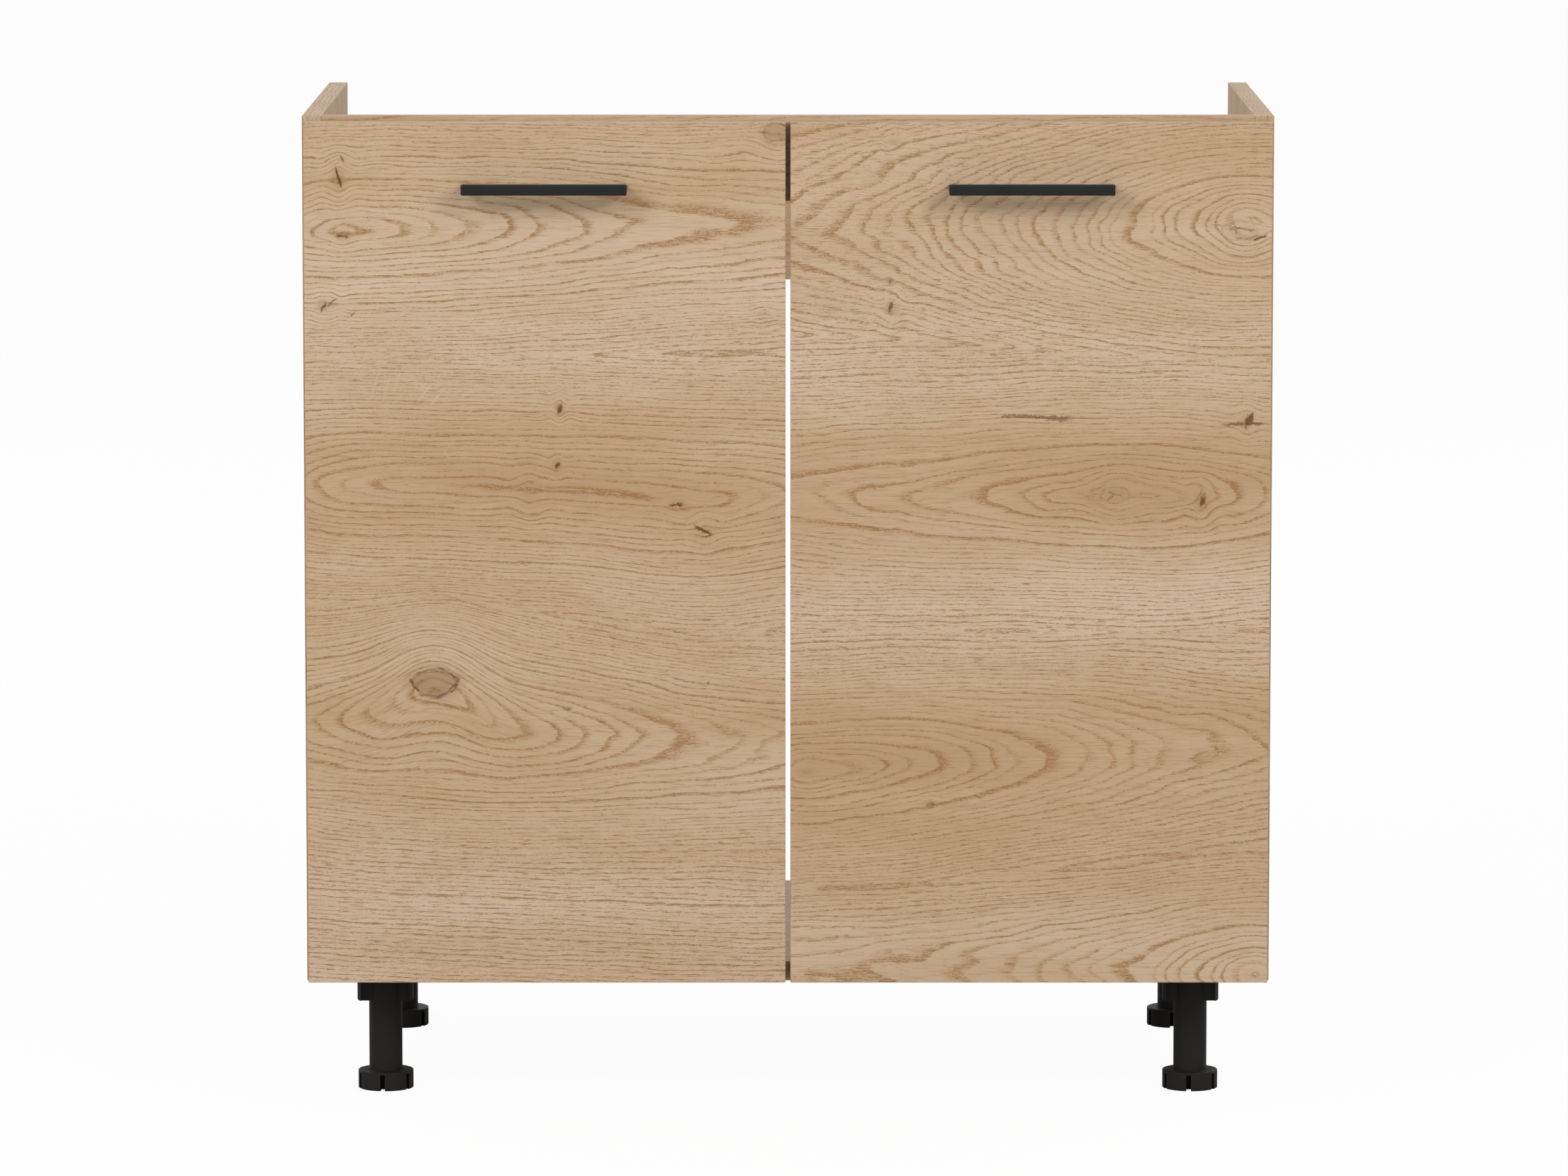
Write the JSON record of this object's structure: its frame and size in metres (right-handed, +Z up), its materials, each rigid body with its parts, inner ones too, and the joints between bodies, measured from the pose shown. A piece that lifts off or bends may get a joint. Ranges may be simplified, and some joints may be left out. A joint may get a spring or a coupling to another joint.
{
  "type": "sink base cabinet",
  "caption": "Kitchen base cabinet for an inset sink: oak-look carcass with open back and top, overlay doors on concealed hinges, slim black bar handles, adjustable black legs",
  "frame": {"origin": "on the floor, under the middle of the overall width and depth, handles counted in", "axes": "X along the width, +Y from the doors to the open back, +Z up"},
  "size_m": [0.8, 0.485, 0.82],
  "materials": {
    "door_board": "light oak laminate, grain running across",
    "carcass_board": "light oak laminate on board",
    "black_handle": "matt black powder coat",
    "black_plastic": "moulded, fine texture",
    "nickel_hinge": "nickel plated pressed steel",
    "zinc_screw": "zinc plated",
    "cast_cam": "die cast zinc",
    "beech_dowel": "plain turned beech",
    "clear_bumper": "clear silicone"
  },
  "bodies": {
    "carcass": {"side_panel_left": "carcass_board", "side_panel_right": "carcass_board", "bottom_panel": "carcass_board", "front_rail": "carcass_board", "rear_rail": "carcass_board", "wood_dowels": "beech_dowel", "cam_bolts": "zinc_screw", "cam_discs": "cast_cam", "leg_screws": "zinc_screw", "hinge_arm_pins": "nickel_hinge", "hinge_plate_screws": "zinc_screw", "hinge_adjusters": "zinc_screw", "leg_socket_front_left": "black_plastic", "leg_socket_front_right": "black_plastic", "leg_socket_rear_left": "black_plastic", "leg_socket_rear_right": "black_plastic", "leg_column_front_left": "black_plastic", "leg_column_front_right": "black_plastic", "leg_column_rear_left": "black_plastic", "leg_column_rear_right": "black_plastic", "hinge_plate_upper_left": "nickel_hinge", "hinge_plate_upper_right": "nickel_hinge", "hinge_plate_lower_left": "nickel_hinge", "hinge_plate_lower_right": "nickel_hinge", "hinge_arm_upper_left": "nickel_hinge", "hinge_arm_upper_right": "nickel_hinge", "hinge_arm_lower_left": "nickel_hinge", "hinge_arm_lower_right": "nickel_hinge"},
    "door_left": {"door_left": "door_board", "handle_left": "black_handle", "handle_screws_left": "zinc_screw", "door_bumpers_left": "clear_bumper", "hinge_cup_upper_left": "nickel_hinge", "hinge_cup_lower_left": "nickel_hinge", "hinge_cup_pins_left": "nickel_hinge", "hinge_cup_screws_left": "zinc_screw"},
    "main_links_left": {"hinge_main_link_upper_left": "nickel_hinge", "hinge_main_link_lower_left": "nickel_hinge"},
    "second_links_left": {"hinge_second_link_upper_left": "nickel_hinge", "hinge_second_link_lower_left": "nickel_hinge"},
    "door_right": {"door_right": "door_board", "handle_right": "black_handle", "handle_screws_right": "zinc_screw", "door_bumpers_right": "clear_bumper", "hinge_cup_upper_right": "nickel_hinge", "hinge_cup_lower_right": "nickel_hinge", "hinge_cup_pins_right": "nickel_hinge", "hinge_cup_screws_right": "zinc_screw"},
    "main_links_right": {"hinge_main_link_upper_right": "nickel_hinge", "hinge_main_link_lower_right": "nickel_hinge"},
    "second_links_right": {"hinge_second_link_upper_right": "nickel_hinge", "hinge_second_link_lower_right": "nickel_hinge"},
    "foot_front_left": {"leg_foot_front_left": "black_plastic"},
    "foot_front_right": {"leg_foot_front_right": "black_plastic"},
    "foot_rear_left": {"leg_foot_rear_left": "black_plastic"},
    "foot_rear_right": {"leg_foot_rear_right": "black_plastic"}
  },
  "joints": [
    {"name": "hinge_main_links_left", "type": "hinge", "parent": "carcass", "child": "main_links_left", "pos_m": [-0.3654, -0.1855, 0.4585], "axis": [0, 0, 1], "range_deg": [0, 25.9]},
    {"name": "door_left_swing", "type": "hinge", "parent": "main_links_left", "child": "door_left", "pos_m": [-0.3884, -0.2028, 0.4585], "axis": [0, 0, -1], "range_deg": [0, 120.84]},
    {"name": "hinge_second_links_left", "type": "hinge", "parent": "carcass", "child": "second_links_left", "pos_m": [-0.3655, -0.209, 0.4585], "axis": [0, 0, 1], "range_deg": [0, 20.95]},
    {"name": "hinge_main_links_right", "type": "hinge", "parent": "carcass", "child": "main_links_right", "pos_m": [0.3654, -0.1855, 0.4585], "axis": [0, 0, -1], "range_deg": [0, 25.9]},
    {"name": "door_right_swing", "type": "hinge", "parent": "main_links_right", "child": "door_right", "pos_m": [0.3884, -0.2028, 0.4585], "axis": [0, 0, 1], "range_deg": [0, 120.84]},
    {"name": "hinge_second_links_right", "type": "hinge", "parent": "carcass", "child": "second_links_right", "pos_m": [0.3655, -0.209, 0.4585], "axis": [0, 0, -1], "range_deg": [0, 20.95]},
    {"name": "foot_front_left_height", "type": "slide", "parent": "carcass", "child": "foot_front_left", "axis": [0, 0, -1], "range_m": [0, 0.02]},
    {"name": "foot_front_right_height", "type": "slide", "parent": "carcass", "child": "foot_front_right", "axis": [0, 0, -1], "range_m": [0, 0.02]},
    {"name": "foot_rear_left_height", "type": "slide", "parent": "carcass", "child": "foot_rear_left", "axis": [0, 0, -1], "range_m": [0, 0.02]},
    {"name": "foot_rear_right_height", "type": "slide", "parent": "carcass", "child": "foot_rear_right", "axis": [0, 0, -1], "range_m": [0, 0.02]}
  ],
  "couplings": [
    {"joint": "hinge_main_links_left", "follows": "door_left_swing", "ratio": 0.21384},
    {"joint": "hinge_second_links_left", "follows": "door_left_swing", "ratio": 0.17296},
    {"joint": "hinge_main_links_right", "follows": "door_right_swing", "ratio": 0.21384},
    {"joint": "hinge_second_links_right", "follows": "door_right_swing", "ratio": 0.17296}
  ]
}
